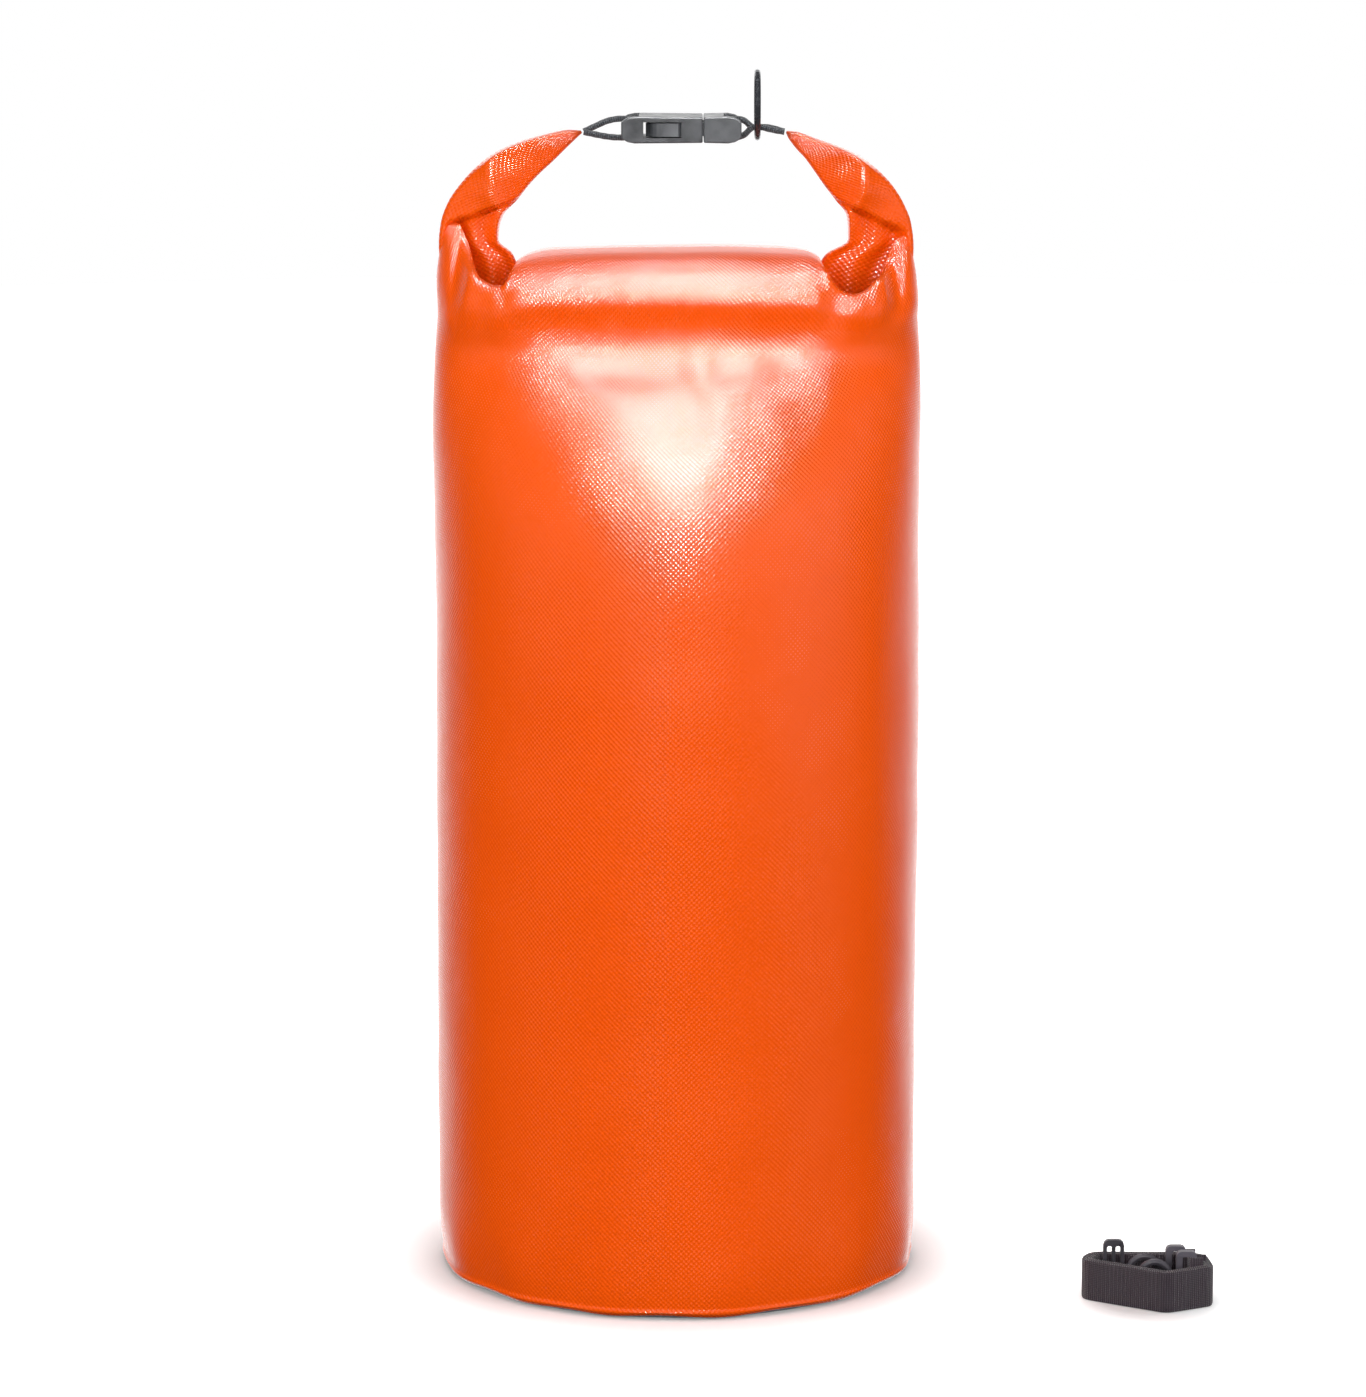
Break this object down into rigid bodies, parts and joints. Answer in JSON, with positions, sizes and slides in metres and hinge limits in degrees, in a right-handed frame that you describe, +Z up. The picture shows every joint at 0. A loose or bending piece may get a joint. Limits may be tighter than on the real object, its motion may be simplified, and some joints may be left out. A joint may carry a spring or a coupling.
{
  "type": "roll-top dry bag",
  "caption": "Upright roll-top dry bag: coated fabric tube with its rolled mouth bent up into a handle, corded side-release buckle, ring and a coiled shoulder strap.",
  "frame": {"origin": "centre of the flat round base, on the ground", "axes": "+Z up the bag, X along the rolled mouth and the buckle with the ring on the +X side, the front of the bag faces -Y"},
  "size_m": [0.3841, 0.24, 0.5986],
  "materials": {
    "coated_fabric": "glossy PVC-coated scrim",
    "base_fabric": "satin coated fabric",
    "strip_plastic": "matte",
    "buckle_plastic": "semi-matte moulded acetal",
    "braid": "braided cord",
    "dark_metal": "polished black nickel",
    "webbing": "ribbed polypropylene webbing",
    "hook_plastic": "semi-matte moulded nylon"
  },
  "bodies": {
    "bag": {"bag_tube": "coated_fabric", "bottom_disc": "base_fabric", "rolled_collar": "coated_fabric", "stiffener_front": "strip_plastic", "stiffener_back": "strip_plastic"},
    "left_end": {"left_roll_end": "coated_fabric", "left_cord": "braid"},
    "right_end": {"right_roll_end": "coated_fabric", "right_cord": "braid"},
    "socket": {"buckle_socket": "buckle_plastic"},
    "plug": {"buckle_plug": "buckle_plastic"},
    "prong_front": {"front_prong": "buckle_plastic"},
    "prong_back": {"back_prong": "buckle_plastic"},
    "ring_body": {"ring": "dark_metal"},
    "strap": {"strap_webbing": "webbing", "strap_slider": "hook_plastic", "hook_a_body": "hook_plastic", "hook_b_body": "hook_plastic"},
    "gate_a": {"hook_a_gate": "hook_plastic"},
    "gate_b": {"hook_b_gate": "hook_plastic"}
  },
  "joints": [
    {"name": "left_swing", "type": "hinge", "parent": "bag", "child": "left_end", "pos_m": [-0.1015, 0, 0.4955], "axis": [0, -1, 0], "range_deg": [0, 90], "deforming": ["front_prong", "back_prong"]},
    {"name": "right_swing", "type": "hinge", "parent": "bag", "child": "right_end", "pos_m": [0.1085, 0, 0.4955], "axis": [0, 1, 0], "range_deg": [0, 90]},
    {"name": "socket_tilt", "type": "hinge", "parent": "left_end", "child": "socket", "pos_m": [-0.0253, 0, 0.5698], "axis": [0, 1, 0], "range_deg": [0, 90]},
    {"name": "plug_tilt", "type": "hinge", "parent": "right_end", "child": "plug", "pos_m": [0.0297, 0, 0.5698], "axis": [0, -1, 0], "range_deg": [0, 90]},
    {"name": "front_prong_press", "type": "hinge", "parent": "plug", "child": "prong_front", "pos_m": [0.0148, -0.011, 0.5698], "axis": [0, 0, -1], "range_deg": [0, 8], "stiffness_Nm_per_rad": 0.5},
    {"name": "back_prong_press", "type": "hinge", "parent": "plug", "child": "prong_back", "pos_m": [0.0148, 0.011, 0.5698], "axis": [0, 0, 1], "range_deg": [0, 8], "stiffness_Nm_per_rad": 0.5},
    {"name": "ring_swing", "type": "hinge", "parent": "right_end", "child": "ring_body", "pos_m": [0.0394, 0, 0.5702], "axis": [1, 0, 0], "continuous": true},
    {"name": "strap_lift", "type": "slide", "parent": "bag", "child": "strap", "axis": [0, 0, 1], "range_m": [0, 0.3]},
    {"name": "gate_a_open", "type": "hinge", "parent": "strap", "child": "gate_a", "pos_m": [0.2356, -0.0765, 0.008], "axis": [0, 1, 0], "range_deg": [0, 30], "stiffness_Nm_per_rad": 0.02},
    {"name": "gate_b_open", "type": "hinge", "parent": "strap", "child": "gate_b", "pos_m": [0.2399, -0.0865, 0.008], "axis": [0, 1, 0], "range_deg": [0, 30], "stiffness_Nm_per_rad": 0.02}
  ],
  "couplings": [
    {"joint": "right_swing", "follows": "left_swing", "ratio": 1},
    {"joint": "socket_tilt", "follows": "left_swing", "ratio": 1},
    {"joint": "plug_tilt", "follows": "left_swing", "ratio": 1}
  ]
}
